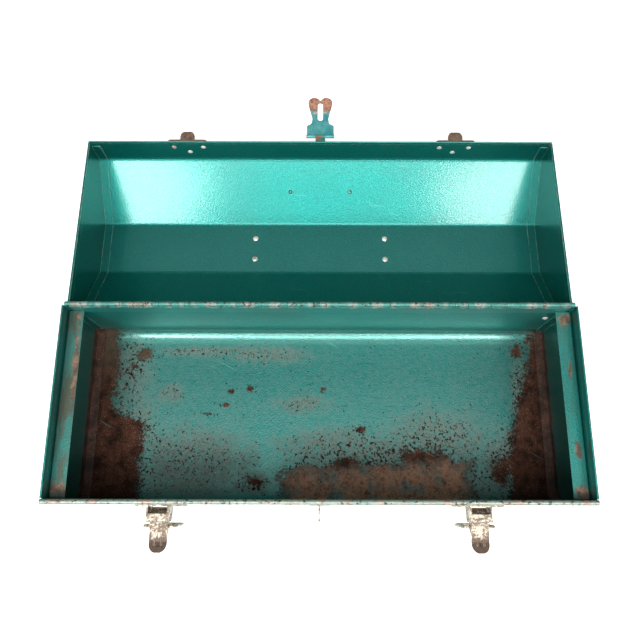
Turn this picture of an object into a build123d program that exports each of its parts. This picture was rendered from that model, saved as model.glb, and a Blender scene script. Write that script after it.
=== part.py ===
from build123d import *
import os
from math import asin, atan2, cos, degrees, hypot, radians, sin

# Hip-roof steel carpenter's toolbox, shown with its lid swung fully back.
# Millimetres. X runs along the box, +Y points to the hinge side, +Z is up.
# The origin is the centre of the flat underside.

os.makedirs("parts", exist_ok=True)

# ---------------------------------------------------------------- box body
LENGTH = 508.0              # outside, 20 in
WIDTH = 189.0               # outside, front face to rear face
HEIGHT = 105.0              # underside to the top of the rolled front rim
BODY_SHEET = 1.0
FLOOR_BEND = 11.5           # outside radius of the two long floor bends
BEAD_RADIUS = 2.5           # rolled front rim
END_FLANGE = 9.0            # spot-weld flange turned in round each end plate
HEM_DEPTH = 8.0             # folded top edge of the end plates
HEM_THICK = 2.0
SEAM_GAP = 0.03             # air left between sheets that are welded together
FRONT = -WIDTH / 2
REAR = WIDTH / 2

# ---------------------------------------------------------------- piano hinge
KNUCKLE_PITCH = 12.7        # half-inch knuckles
KNUCKLES = 39               # full ones; a short lid knuckle ends each row
HINGE_LENGTH = 503.4
BARREL_RADIUS = 2.3
PIN_RADIUS = 1.2
RUNNING_FIT = 0.05          # radial clearance of every turning pin
KNUCKLE_GAP = 0.35
LEAF_SHEET = 1.0
LEAF_HEIGHT = 19.5
LEAF_LENGTH = 495.0
LEAF_CLEAR = 0.45           # leaf edge to the other leaf's knuckles
HINGE_OUT = 0.8             # the hinge line stands this far behind the rear face
HINGE_Y = REAR + HINGE_OUT
HINGE_Z = HEIGHT - BARREL_RADIUS

# ---------------------------------------------------------------- lid
LID_LENGTH = 501.0
LID_REACH = 187.0           # hinge line to the free edge
LID_SHEET = 0.8
LIP_DEPTH = 33.5            # upright lips, rim to slope
LID_DEPTH = 76.0            # rim to the outer face of the top
TOP_WIDTH = 61.0
LID_BEND = 8.0
OVERTRAVEL = 2.2            # degrees past flat, where the lip meets the rear wall

# ---------------------------------------------------------------- fittings
LATCH_X = 148.0             # latches, either side of the middle
CATCH_X = {"left": -144.2, "right": 146.5}      # the catches sit a little off the latches
LATCH_DROP = 21.0           # lever pivot below the rim
LATCH_OUT = 10.5            # lever pivot in front of the front face
LEVER_LENGTH = 32.5
LEVER_WIDTH = 16.5
LEVER_SHEET = 1.3
LEVER_TRAVEL = 100.0        # degrees from level to shut
LINK_ARM = 9.0              # lever pivot to link pivot
LINK_WIRE = 1.5             # radius
LINK_HALF = 14.5            # middle of the link to the middle of a leg
CATCH_OUT = 6.9             # seat of the link's bar, in front of the front face
CATCH_Z = HEIGHT + 5.5
CATCH_SHEET = 1.8
CATCH_HALF = 21.0           # half the length of a catch's plate
CATCH_TOP = 3.0             # plate's upper and lower edges from the hinge line
CATCH_FOOT = 28.6
CATCH_NOSE = 6.0            # half the width of the plate's foot
CATCH_TAPER = 10.0          # height of its slanting sides
CATCH_CORNER = 3.5
HOOK_WIDTH = 15.4
HOOK_CORNER = 7.2           # round of the hook's outline in plan
HOOK_LIP = 3.6              # reach of its lip past the seat of the link's bar
HANDLE_X = 74.5             # handle brackets, either side of the middle
HANDLE_RISE = 3.6           # handle pivot off the lid's top
HANDLE_WIRE = 3.2           # radius
HANDLE_DEPTH = 48.0
GRIP_RADIUS = 8.0
HASP_U = 195.0              # hasp pin from the hinge line
HASP_W = -5.7
HASP_WIDTH = 29.0
HASP_SHEET = 1.5
HASP_KNUCKLE = 2.0          # radius
HASP_LEAF = 1.4             # sheet
STAPLE_Z = 79.9
LEDGE_DROP = 17.0           # tray ledges below the rim
LEDGE_WIDTH = 15.5
RIVET = 2.0                 # shank radius
RIVET_GAP = 0.02

# The body's cross-section has local axes (Y, Z). The lid has its own frame at
# rest: x along the box, u from the hinge to the free edge, w out of the open
# lid. It tips down by OVERTRAVEL towards the free edge.
SECTION = Plane.YZ
TIP = radians(OVERTRAVEL)
X = Vector(1, 0, 0)
U = Vector(0, cos(TIP), -sin(TIP))
W = Vector(0, sin(TIP), cos(TIP))
HINGE = Vector(0, HINGE_Y, HINGE_Z)
RIM = -(BARREL_RADIUS + 0.3)
LIP = RIM - LIP_DEPTH
TOP = RIM - LID_DEPTH
LID_SECTION = Plane(origin=HINGE, x_dir=U, z_dir=X)                 # (u, w)
LIP_PLANE = Plane(origin=HINGE + U * LID_REACH, x_dir=X, z_dir=U)   # (x, -w)
TOP_PLANE = Plane(origin=HINGE + W * TOP, x_dir=X, z_dir=-W)        # (x, -u)
FRONT_PLANE = Plane(origin=(0, FRONT, 0), x_dir=X, z_dir=(0, -1, 0))  # (x, z)
SIDES = {"left": -1, "right": 1}


def save(builder, label):
    """Name a finished piece and write it as its own STEP file."""
    builder.part.label = label
    export_step(builder.part, f"parts/{label}.step")


def spot(plane, x, y):
    """The same plane, moved to a point given in its own axes."""
    return Plane(origin=plane.from_local_coords((x, y, 0)), x_dir=plane.x_dir, z_dir=plane.z_dir)


def arc_middle(radius, height):
    """Middle point of a dome's outline, for a cap of that radius and height."""
    ball = (radius**2 + height**2) / (2 * height)
    half = asin(radius / ball) / 2
    return ball * sin(half), height - ball + ball * cos(half)


def add_rivet(plane, grip, head=4.0, head_height=2.0, tail=3.0, tail_height=1.0):
    """Add a rivet to the open part: head on the plane, `grip` of sheet behind it."""
    bulge = arc_middle(head, head_height)
    under = arc_middle(tail, tail_height)
    with BuildSketch(Plane(origin=plane.origin, x_dir=plane.x_dir, z_dir=-plane.y_dir)) as half:
        with BuildLine():
            ThreePointArc((0, head_height), bulge, (head, 0))
            Polyline((head, 0), (RIVET, 0), (RIVET, -grip), (tail, -grip))
            ThreePointArc((tail, -grip), (under[0], -grip - under[1]), (0, -grip - tail_height))
            Line((0, -grip - tail_height), (0, head_height))
        make_face()
    revolve(half.sketch, axis=Axis(plane.origin, plane.z_dir))


def cut_rivet_hole(plane, depth):
    """Cut a rivet's hole through the open part, behind the plane."""
    with BuildSketch(plane) as hole:
        Circle(RIVET + RIVET_GAP)
    extrude(hole.sketch, amount=depth, both=True, mode=Mode.SUBTRACT)


# ================================================================ rivet places
catch_spots = {
    side: [(middle + x, y) for x, y in ((-16, 13.7), (16, 13.7), (0, 22.7))]
    for side, middle in CATCH_X.items()
}
latch_spots = {
    side: [(sign * LATCH_X + x, HEIGHT - LATCH_DROP) for x in (-19, 19)]
    for side, sign in SIDES.items()
}
handle_u = (LID_REACH + HINGE_OUT) / 2
handle_spots = {
    side: [(sign * HANDLE_X, y - handle_u) for y in (-12.75, 12.75)]
    for side, sign in SIDES.items()
}
badge_spots = [(-34, 0), (34, 0)]
stay_plane = Plane(origin=(237, REAR - BODY_SHEET, HEIGHT - 44.5), x_dir=X, z_dir=(0, -1, 0))

# ================================================================ box body
wall_mid = BODY_SHEET / 2
bead_y = FRONT + BEAD_RADIUS
bead_z = HEIGHT - BEAD_RADIUS
wall_top = HINGE_Z - BARREL_RADIUS - 0.4
bead_gap = 75               # degrees of the rolled rim left open underneath

with BuildPart() as body_shell:
    with BuildSketch(SECTION.offset(-LENGTH / 2)):
        with BuildLine():
            CenterArc((bead_y, bead_z), BEAD_RADIUS - wall_mid, -bead_gap, 180 + bead_gap)
        trace(line_width=BODY_SHEET)
        with BuildLine():
            FilletPolyline(
                (FRONT + wall_mid, bead_z),
                (FRONT + wall_mid, wall_mid),
                (REAR - wall_mid, wall_mid),
                (REAR - wall_mid, wall_top),
                radius=FLOOR_BEND - wall_mid,
            )
        trace(line_width=BODY_SHEET)
    extrude(amount=LENGTH)
    for side in SIDES:
        for place in latch_spots[side]:
            cut_rivet_hole(spot(FRONT_PLANE, *place), BODY_SHEET * 2)
    cut_rivet_hole(stay_plane, BODY_SHEET * 2)
save(body_shell, "body_shell")

# End plates: flat sheet inside the shell, with a welded flange round three
# sides and a folded top edge. The front corner is cut back for the rolled rim.
inside = BODY_SHEET + SEAM_GAP
inner_bend = FLOOR_BEND - inside
flange_mid = inside + wall_mid
notch = 2 * BEAD_RADIUS + 0.4
flange_top = HINGE_Z - LEAF_HEIGHT - 3.0

for side, sign in SIDES.items():
    with BuildPart() as body_end:
        outer_face = SECTION.offset(sign * LENGTH / 2)
        with BuildSketch(outer_face):
            with BuildLine():
                FilletPolyline(
                    (FRONT + inside, HEIGHT - notch),
                    (FRONT + inside, inside),
                    (REAR - inside, inside),
                    (REAR - inside, HEIGHT - notch),
                    radius=inner_bend,
                )
                Polyline(
                    (REAR - inside, HEIGHT - notch),
                    (REAR - inside, HEIGHT),
                    (FRONT + notch, HEIGHT),
                    (FRONT + notch, HEIGHT - notch),
                    (FRONT + inside, HEIGHT - notch),
                )
            make_face()
        extrude(amount=-sign * BODY_SHEET)
        with BuildSketch(outer_face):
            with BuildLine():
                FilletPolyline(
                    (FRONT + flange_mid, HEIGHT - notch - 1.5),
                    (FRONT + flange_mid, flange_mid),
                    (REAR - flange_mid, flange_mid),
                    (REAR - flange_mid, flange_top),
                    radius=FLOOR_BEND - flange_mid,
                )
            trace(line_width=BODY_SHEET)
        extrude(amount=-sign * (BODY_SHEET + END_FLANGE))
        with BuildSketch(outer_face):
            with Locations(((FRONT + notch + REAR - inside) / 2, HEIGHT - HEM_DEPTH / 2)):
                Rectangle(WIDTH - notch - inside, HEM_DEPTH)
        extrude(amount=-sign * HEM_THICK)
        top_edges = body_end.edges().filter_by(Axis.Y).group_by(Axis.Z)[-1]
        fillet(top_edges, radius=0.9)
    save(body_end, f"body_end_{side}")

# Tray ledges: angle strips welded to the end plates, flat side up.
ledge_z = HEIGHT - LEDGE_DROP
ledge_rear = REAR - flange_mid - wall_mid - 0.3
ledge_front = FRONT + notch
for side, sign in SIDES.items():
    root = sign * (LENGTH / 2 - BODY_SHEET - SEAM_GAP)
    with BuildPart() as tray_ledge:
        with BuildSketch(Plane.XZ.offset(-ledge_front)):
            with BuildLine():
                FilletPolyline(
                    (root - sign * wall_mid, ledge_z - 13.0),
                    (root - sign * wall_mid, ledge_z - wall_mid),
                    (root - sign * LEDGE_WIDTH, ledge_z - wall_mid),
                    radius=1.5,
                )
            trace(line_width=BODY_SHEET)
        extrude(amount=ledge_front - ledge_rear)
    save(tray_ledge, f"tray_ledge_{side}")

# ================================================================ piano hinge
short = (HINGE_LENGTH - KNUCKLES * KNUCKLE_PITCH) / 2
full_row = [(i - (KNUCKLES - 1) / 2) * KNUCKLE_PITCH for i in range(KNUCKLES)]
end_x = (HINGE_LENGTH - short) / 2
body_row = {KNUCKLE_PITCH: full_row[0::2]}
lid_row = {KNUCKLE_PITCH: full_row[1::2], short: [-end_x, end_x]}


def hinge_leaf(plane, leaf_in, sign, length, row):
    """A hinge leaf on a section plane whose origin is the hinge line.

    leaf_in is the near face of the leaf, on the `sign` side of the line, and
    row lists the middles of its knuckles under their pitch.
    """
    middle = sign * (leaf_in + LEAF_SHEET / 2)
    edge = -(BARREL_RADIUS + LEAF_CLEAR)
    with BuildPart() as leaf:
        with BuildSketch(plane):
            with Locations((middle, (edge - LEAF_HEIGHT) / 2)):
                Rectangle(LEAF_SHEET, LEAF_HEIGHT + edge)
        extrude(amount=length / 2, both=True)
        for pitch, middles in row.items():
            with BuildSketch(*[plane.offset(x) for x in middles]):
                Circle(BARREL_RADIUS)
                with Locations((middle, (edge - 0.5) / 2)):
                    Rectangle(LEAF_SHEET, 0.5 - edge)
                Circle(PIN_RADIUS + RUNNING_FIT, mode=Mode.SUBTRACT)
            extrude(amount=(pitch - KNUCKLE_GAP) / 2, both=True)
    return leaf


body_hinge_plane = Plane(origin=HINGE, x_dir=(0, 1, 0), z_dir=X)
body_leaf_in = HINGE_OUT + BODY_SHEET + SEAM_GAP
hinge_leaf_body = hinge_leaf(body_hinge_plane, body_leaf_in, -1, LEAF_LENGTH, body_row)
save(hinge_leaf_body, "hinge_leaf_body")
lid_leaf_in = HINGE_OUT + LID_SHEET + SEAM_GAP
hinge_leaf_lid = hinge_leaf(LID_SECTION, lid_leaf_in, 1, LEAF_LENGTH + 4.0, lid_row)
save(hinge_leaf_lid, "hinge_leaf_lid")

with BuildPart() as hinge_pin:
    with BuildSketch(body_hinge_plane):
        Circle(PIN_RADIUS)
    extrude(amount=HINGE_LENGTH / 2 - 0.2, both=True)
    chamfer(hinge_pin.edges().filter_by(GeomType.CIRCLE), length=0.3)
save(hinge_pin, "hinge_pin")

# ================================================================ lid
lid_mid = LID_SHEET / 2
top_near = (LID_REACH + HINGE_OUT - TOP_WIDTH) / 2
slope = atan2(LID_DEPTH - LIP_DEPTH, top_near - HINGE_OUT)
hem_radius = 0.42
hem_fold = 2.8


def hip_profile(inset, rim=RIM):
    """Corners of the lid's section, `inset` inside its outer face."""
    lip_shift = inset * (1 - sin(slope)) / cos(slope)
    top_shift = inset * (1 - cos(slope)) / sin(slope)
    near = HINGE_OUT + inset
    far = LID_REACH - inset
    return [
        (near, rim),
        (near, LIP + lip_shift),
        (top_near + top_shift, TOP + inset),
        (top_near + TOP_WIDTH - top_shift, TOP + inset),
        (far, LIP + lip_shift),
        (far, rim),
    ]


slope_middle = ((top_near + TOP_WIDTH + LID_REACH) / 2, (TOP + LIP) / 2)
badge_out = U * sin(slope) - W * cos(slope)
badge_plane = Plane(
    origin=HINGE + U * slope_middle[0] + W * slope_middle[1], x_dir=X, z_dir=badge_out
)

with BuildPart() as lid_shell:
    with BuildSketch(LID_SECTION.offset(-LID_LENGTH / 2)):
        corners = hip_profile(lid_mid)
        hem_base = (corners[5][0], RIM - lid_mid - hem_radius)
        with BuildLine():
            FilletPolyline(*corners[:5], hem_base, radius=LID_BEND - lid_mid)
        trace(line_width=LID_SHEET)
        with BuildLine():
            CenterArc((hem_base[0] - hem_radius, hem_base[1]), hem_radius, 0, 180)
        trace(line_width=LID_SHEET)
        with BuildLine():
            Line((hem_base[0] - 2 * hem_radius, hem_base[1]),
                 (hem_base[0] - 2 * hem_radius, hem_base[1] - hem_fold))
        trace(line_width=LID_SHEET)
    extrude(amount=LID_LENGTH)
    for side in SIDES:
        for place in catch_spots[side]:
            cut_rivet_hole(spot(LIP_PLANE, *place), LID_SHEET * 2)
        for place in handle_spots[side]:
            cut_rivet_hole(spot(TOP_PLANE, *place), LID_SHEET * 2)
    for place in badge_spots:
        cut_rivet_hole(spot(badge_plane, *place), LID_SHEET * 2)
save(lid_shell, "lid_shell")

lid_inside = LID_SHEET + SEAM_GAP
hem_near = lid_leaf_in + LEAF_SHEET + 0.4
front_clear = LID_SHEET + 2 * hem_radius + 0.4      # the end plate stops at the lip's hem
for side, sign in SIDES.items():
    with BuildPart() as lid_end:
        outer_face = LID_SECTION.offset(sign * LID_LENGTH / 2)
        plate = hip_profile(lid_inside)
        hem_foot = RIM - 7.5
        with BuildSketch(outer_face):
            with BuildLine():
                FilletPolyline(
                    (plate[0][0], RIM - 1.0),
                    *plate[1:5],
                    (plate[5][0], hem_foot),
                    radius=LID_BEND - lid_inside,
                )
                Polyline(
                    (plate[5][0], hem_foot),
                    (LID_REACH - front_clear, hem_foot),
                    (LID_REACH - front_clear, RIM),
                    (hem_near, RIM),
                    (hem_near, RIM - 1.0),
                    (plate[0][0], RIM - 1.0),
                )
            make_face()
        extrude(amount=-sign * LID_SHEET)
        with BuildSketch(outer_face):
            with BuildLine():
                flange = hip_profile(lid_inside + lid_mid)
                FilletPolyline(
                    (flange[0][0], -LEAF_HEIGHT - 2.0),
                    *flange[1:5],
                    (flange[5][0], hem_foot - 2.0),
                    radius=LID_BEND - lid_inside - lid_mid,
                )
            trace(line_width=LID_SHEET)
        extrude(amount=-sign * (LID_SHEET + END_FLANGE))
        with BuildSketch(outer_face):
            with Locations(((hem_near + LID_REACH - front_clear) / 2, RIM - 3.5)):
                Rectangle(LID_REACH - front_clear - hem_near, 7.0)
        extrude(amount=-sign * HEM_THICK)
    save(lid_end, f"lid_end_{side}")

# Badge: a blank pressed plate on the front slope.
BADGE_SHEET = 0.7
with BuildPart() as badge_plate:
    with BuildSketch(badge_plane):
        RectangleRounded(80, 26, 5)
    extrude(amount=BADGE_SHEET)
    with BuildSketch(badge_plane.offset(BADGE_SHEET)):
        RectangleRounded(58, 19, 3)
    extrude(amount=0.5)
    for place in badge_spots:
        cut_rivet_hole(spot(badge_plane, *place), BADGE_SHEET * 2)
save(badge_plate, "badge_plate")

with BuildPart() as badge_rivets:
    for place in badge_spots:
        seat = spot(badge_plane.offset(BADGE_SHEET), *place)
        add_rivet(seat, BADGE_SHEET + LID_SHEET, head=3.0, head_height=1.5, tail=2.6)
save(badge_rivets, "badge_rivets")

# ================================================================ catches
catch_u = HINGE_Y - FRONT + CATCH_OUT       # seat of the link's bar in the lid's frame
catch_w = HINGE_Z - CATCH_Z
hook_w = catch_w + LINK_WIRE + 0.3 + CATCH_SHEET / 2
hook_u = catch_u + LINK_WIRE + 0.6 + CATCH_SHEET / 2
hook_root = LID_REACH + CATCH_SHEET / 2
hook_reach = hook_u + CATCH_SHEET / 2 - hook_root
for side, middle in CATCH_X.items():
    with BuildPart() as catch:
        # The hook: a tongue reaches out to a turned-down lip, rounded in plan.
        with BuildSketch(LID_SECTION.offset(middle)):
            with BuildLine():
                FilletPolyline(
                    (hook_root, hook_w),
                    (hook_u, hook_w),
                    (hook_u, catch_w - HOOK_LIP),
                    radius=1.8,
                )
            trace(line_width=CATCH_SHEET)
        extrude(amount=HOOK_WIDTH / 2, both=True)
        hook_plan = Plane(origin=HINGE + X * middle + U * hook_root, x_dir=X, z_dir=W)
        with BuildSketch(hook_plan):
            RectangleRounded(HOOK_WIDTH, 2 * hook_reach, HOOK_CORNER)
        extrude(amount=2 * HOOK_WIDTH, both=True, mode=Mode.INTERSECT)
        # The plate is as wide as its upper rivets and narrows to the lower one.
        with BuildSketch(LIP_PLANE):
            with BuildLine():
                FilletPolyline(
                    (middle - CATCH_HALF, CATCH_TOP),
                    (middle + CATCH_HALF, CATCH_TOP),
                    (middle + CATCH_HALF, CATCH_FOOT - CATCH_TAPER),
                    (middle + CATCH_NOSE, CATCH_FOOT),
                    (middle - CATCH_NOSE, CATCH_FOOT),
                    (middle - CATCH_HALF, CATCH_FOOT - CATCH_TAPER),
                    radius=CATCH_CORNER,
                    close=True,
                )
            make_face()
        extrude(amount=CATCH_SHEET)
        for place in catch_spots[side]:
            cut_rivet_hole(spot(LIP_PLANE, *place), CATCH_SHEET * 2)
    save(catch, f"catch_{side}")

    with BuildPart() as catch_rivets:
        for place in catch_spots[side]:
            seat = spot(LIP_PLANE.offset(CATCH_SHEET), *place)
            add_rivet(seat, CATCH_SHEET + LID_SHEET, head=3.2, head_height=1.7, tail=2.8)
    save(catch_rivets, f"catch_rivets_{side}")

# ================================================================ draw latches
pivot_y = FRONT - LATCH_OUT
pivot_z = HEIGHT - LATCH_DROP
link_y = pivot_y - LINK_ARM
BASE_SHEET = 1.5
BASE_LENGTH = 49.0
BASE_HEIGHT = 14.0
CHEEK = 1.4
CHEEK_ROUND = 5.0                   # radius round the pivot
LATCH_PIN = 1.6                     # radius
cheek_in = LEVER_WIDTH / 2 + 0.6    # inner face of a cheek from the latch's middle
cheek_out = cheek_in + CHEEK
cheek_top = pivot_z + 13.0
bridge_y = pivot_y - 3.5            # outer edge of the bridge between the cheeks
bridge_z = cheek_top - CHEEK / 2
closed = radians(LEVER_TRAVEL)
shut_y = pivot_y - LINK_ARM * cos(closed)
shut_z = pivot_z - LINK_ARM * sin(closed)
seat_y = HINGE_Y - catch_u
link_length = hypot(CATCH_Z - shut_z, shut_y - seat_y)
lean = degrees(atan2(shut_y - seat_y, CATCH_Z - shut_z))
link_travel = 180 - lean + LEVER_TRAVEL
print("latch link length", round(link_length, 2), "turns", round(link_travel, 3), "degrees")

for side, sign in SIDES.items():
    centre = sign * LATCH_X

    # Base: a riveted plate, two tall cheeks and a bridge over their tops.
    with BuildPart() as latch_base:
        with BuildSketch(FRONT_PLANE):
            with Locations((centre, pivot_z)):
                SlotOverall(BASE_LENGTH, BASE_HEIGHT)
            with Locations((centre, (pivot_z + cheek_top) / 2)):
                Rectangle(2 * cheek_out, cheek_top - pivot_z)
        extrude(amount=BASE_SHEET)
        for cheek in (-1, 1):
            with BuildSketch(SECTION.offset(centre + cheek * (cheek_in + cheek_out) / 2)):
                with BuildLine():
                    Polyline(
                        (FRONT - BASE_SHEET / 2, cheek_top),
                        (bridge_y, cheek_top),
                        (pivot_y - CHEEK_ROUND, pivot_z + 1.0),
                        (pivot_y, pivot_z - CHEEK_ROUND),
                        (FRONT - BASE_SHEET / 2, pivot_z - BASE_HEIGHT / 2 + 0.5),
                        close=True,
                    )
                make_face()
                with Locations((pivot_y, pivot_z)):
                    Circle(CHEEK_ROUND)
                    Circle(LATCH_PIN + RUNNING_FIT, mode=Mode.SUBTRACT)
            extrude(amount=CHEEK / 2, both=True)
        with BuildSketch(SECTION.offset(centre)):
            with BuildLine():
                FilletPolyline(
                    (bridge_y + 6.0, bridge_z),
                    (bridge_y - CHEEK / 2, bridge_z),
                    (bridge_y - CHEEK / 2, bridge_z - 2.3),
                    radius=1.5,
                )
            trace(line_width=CHEEK)
        extrude(amount=cheek_out, both=True)
        for place in latch_spots[side]:
            cut_rivet_hole(spot(FRONT_PLANE, *place), BASE_SHEET * 2)
    save(latch_base, f"latch_base_{side}")

    with BuildPart() as latch_rivets:
        for place in latch_spots[side]:
            seat = spot(FRONT_PLANE.offset(BASE_SHEET), *place)
            add_rivet(seat, BASE_SHEET + BODY_SHEET, head=4.2, head_height=2.2)
    save(latch_rivets, f"latch_rivets_{side}")

    with BuildPart() as latch_pin:
        with BuildSketch(SECTION.offset(centre)):
            with Locations((pivot_y, pivot_z)):
                Circle(LATCH_PIN)
        extrude(amount=cheek_out + 0.2, both=True)
        for end in (-1, 1):
            with BuildSketch(SECTION.offset(centre + end * (cheek_out + 0.35))):
                with Locations((pivot_y, pivot_z)):
                    Circle(LATCH_PIN + 0.8)
            extrude(amount=0.3, both=True)
    save(latch_pin, f"latch_pin_{side}")

    # Lever: a pressed channel, level in the open position. Its root curls in
    # behind the pin, and its round end is a dished thumb pad with two ribs.
    half = LEVER_WIDTH / 2
    tip_y = pivot_y - LEVER_LENGTH
    pad_y = tip_y + 15.0                # where the channel ends and the pad begins
    plate_z = pivot_z + 3.85
    flange_z = pivot_z - 3.2            # lower edge of the channel's sides
    channel_top = plate_z - 0.3
    with BuildPart() as latch_lever:
        with BuildSketch(SECTION.offset(centre)):
            with BuildLine():
                FilletPolyline(
                    (pivot_y + 7.4, pivot_z - 2.0),
                    (pivot_y + 4.6, plate_z),
                    (pad_y, plate_z),
                    (pad_y - 4.0, plate_z - 1.6),
                    (tip_y + 0.5, plate_z + 0.8),
                    radius=(2.5, 3.0, 6.0),
                )
            trace(line_width=LEVER_SHEET)
        extrude(amount=half, both=True)
        for rib in (-1, 1):
            with BuildSketch(SECTION.offset(centre + rib * half * 0.4)):
                with Locations((pad_y - 3.5, plate_z - 0.6)):
                    SlotOverall(10, 2)
            extrude(amount=0.8, both=True)
        with BuildSketch(Plane.XY.offset(pivot_z - LINK_ARM)):
            with Locations((centre, tip_y + half)):
                Circle(half)
            with Locations((centre, (pivot_y + LINK_ARM + tip_y + half) / 2)):
                Rectangle(LEVER_WIDTH, LEVER_LENGTH + LINK_ARM - half)
        extrude(amount=3 * LINK_ARM, mode=Mode.INTERSECT)
        for flange in (-1, 1):
            with BuildSketch(SECTION.offset(centre + flange * (half - LEVER_SHEET / 2))):
                with BuildLine():
                    Polyline(
                        (pivot_y + 3.0, channel_top),
                        (pivot_y + 4.0, channel_top),
                        (pivot_y + 4.0, pivot_z - 1.5),
                        (pivot_y + 2.0, flange_z),
                        (link_y - 3.5, flange_z),
                        (pad_y + 0.5, plate_z - 1.2),
                        (pad_y, channel_top),
                        close=True,
                    )
                make_face()
            extrude(amount=LEVER_SHEET / 2, both=True)
        with BuildSketch(SECTION.offset(centre)):
            with Locations((pivot_y, pivot_z)):
                Circle(LATCH_PIN + RUNNING_FIT)
            with Locations((link_y, pivot_z)):
                Circle(LINK_WIRE + RUNNING_FIT)
        extrude(amount=half + 1, both=True, mode=Mode.SUBTRACT)
    save(latch_lever, f"latch_lever_{side}")

    # Link: one bent wire, hanging from the lever by its turned-in ends.
    with BuildPart() as latch_link:
        with BuildLine() as route:
            turned_in = half - 2 * LEVER_SHEET
            bar_z = pivot_z - link_length
            FilletPolyline(
                (centre + turned_in, link_y, pivot_z),
                (centre + LINK_HALF, link_y, pivot_z),
                (centre + LINK_HALF, link_y, bar_z),
                (centre - LINK_HALF, link_y, bar_z),
                (centre - LINK_HALF, link_y, pivot_z),
                (centre - turned_in, link_y, pivot_z),
                radius=(2.6, 3.2, 3.2, 2.6),
            )
        with BuildSketch(Plane(origin=route.line @ 0, z_dir=route.line % 0)):
            Circle(LINK_WIRE)
        sweep()
    save(latch_link, f"latch_link_{side}")

# ================================================================ hasp
hasp_pivot = HINGE + U * HASP_U + W * HASP_W
hasp_section = Plane(origin=hasp_pivot, x_dir=U, z_dir=X)       # (u, w) from the pin
leaf_face = LID_REACH - HASP_U                                  # the lip's outer face
centre_knuckle = 5.25                                           # half its length
knuckle_end = HASP_WIDTH / 2
knuckle_start = centre_knuckle + 0.3
WEB_SHEET = 1.6                                                 # joins the leaf to its knuckle
WEB_DROP = 1.2                                                  # its middle below the pin

with BuildPart() as hasp_leaf:
    with BuildSketch(LIP_PLANE):
        with BuildLine():
            FilletPolyline(
                (-HASP_WIDTH / 2, 7.0),
                (HASP_WIDTH / 2, 7.0),
                (HASP_WIDTH / 2, 20.0),
                (9.0, 27.0),
                (-9.0, 27.0),
                (-HASP_WIDTH / 2, 20.0),
                radius=(0.6, 0.6, 3, 3, 3, 3),
                close=True,
            )
        make_face()
    extrude(amount=HASP_LEAF)
    with BuildSketch(hasp_section):
        Circle(HASP_KNUCKLE)
        with Locations((leaf_face / 2, -WEB_DROP)):
            Rectangle(-leaf_face - 0.2, WEB_SHEET)
        Circle(PIN_RADIUS + RUNNING_FIT, mode=Mode.SUBTRACT)
    extrude(amount=centre_knuckle, both=True)
save(hasp_leaf, "hasp_leaf")

with BuildPart() as hasp_pin:
    with BuildSketch(hasp_section):
        Circle(PIN_RADIUS)
    extrude(amount=knuckle_end, both=True)
    for end in (-1, 1):
        with BuildSketch(hasp_section.offset(end * (knuckle_end + 0.3))):
            Circle(PIN_RADIUS + 0.6)
        extrude(amount=0.3, both=True)
save(hasp_pin, "hasp_pin")

# Strap: lies over its own knuckles, narrows to a neck and ends in two lobes.
strap_w = HASP_KNUCKLE + 0.3
strap_plane = Plane(origin=hasp_pivot + W * strap_w, x_dir=X, z_dir=W)  # (x, u) from the pin
LOBE = 6.6                  # radius
LOBE_U = 40.0
NECK_HALF = 8.6
SLOT_WIDTH = 5.8
SLOT_ENDS = (17.0, 40.2)
strap_half = HASP_WIDTH / 2
lobe_side = LOBE_U - 3.0
strap_tip = LOBE_U + 3.0
with BuildPart() as hasp_strap:
    with BuildSketch(strap_plane):
        with BuildLine():
            FilletPolyline(
                (-strap_half, 0),
                (strap_half, 0),
                (strap_half, 10.8),
                (NECK_HALF + 0.9, 13.2),
                (NECK_HALF, 20),
                (2 * LOBE - 0.4, lobe_side),
                (3, strap_tip),
                (-3, strap_tip),
                (0.4 - 2 * LOBE, lobe_side),
                (-NECK_HALF, 20),
                (-NECK_HALF - 0.9, 13.2),
                (-strap_half, 10.8),
                radius=(0.5, 0.5, 1.5, 4, 8, 0.5, 0.5, 0.5, 0.5, 8, 4, 1.5),
                close=True,
            )
        make_face()
        with Locations((-LOBE, LOBE_U), (LOBE, LOBE_U)):
            Circle(LOBE)
        with Locations((0, sum(SLOT_ENDS) / 2)):
            SlotOverall(SLOT_ENDS[1] - SLOT_ENDS[0], SLOT_WIDTH, rotation=90, mode=Mode.SUBTRACT)
    extrude(amount=HASP_SHEET)
    for end in (-1, 1):
        with BuildSketch(hasp_section.offset(end * (knuckle_end + knuckle_start) / 2)):
            Circle(HASP_KNUCKLE)
            with Locations((HASP_KNUCKLE / 2, strap_w / 2)):
                Rectangle(HASP_KNUCKLE, strap_w + HASP_SHEET / 2)
            Circle(PIN_RADIUS + RUNNING_FIT, mode=Mode.SUBTRACT)
        extrude(amount=(knuckle_end - knuckle_start) / 2, both=True)
save(hasp_strap, "hasp_strap")

# Staple: a flat eye standing on a small foot, bored for a padlock shackle.
STAPLE_OUT = 15.5
STAPLE_HEIGHT = 16.0
STAPLE_SHEET = 2.0
STAPLE_FOOT = 1.0
SHACKLE_RADIUS = 4.0
SHACKLE_OUT = 9.4
with BuildPart() as padlock_staple:
    with BuildSketch(FRONT_PLANE):
        with Locations((0, STAPLE_Z)):
            RectangleRounded(20, 24, 3)
    extrude(amount=STAPLE_FOOT)
    with BuildSketch(SECTION):
        with Locations((FRONT - STAPLE_OUT / 2, STAPLE_Z)):
            Rectangle(STAPLE_OUT, STAPLE_HEIGHT)
    extrude(amount=STAPLE_SHEET / 2, both=True)
    round_edges = padlock_staple.edges().filter_by(Axis.X).group_by(Axis.Y)[0]
    fillet(round_edges, radius=6.5)
    with BuildSketch(SECTION):
        with Locations((FRONT - SHACKLE_OUT, STAPLE_Z)):
            Circle(SHACKLE_RADIUS)
    extrude(amount=STAPLE_SHEET, both=True, mode=Mode.SUBTRACT)
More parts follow.
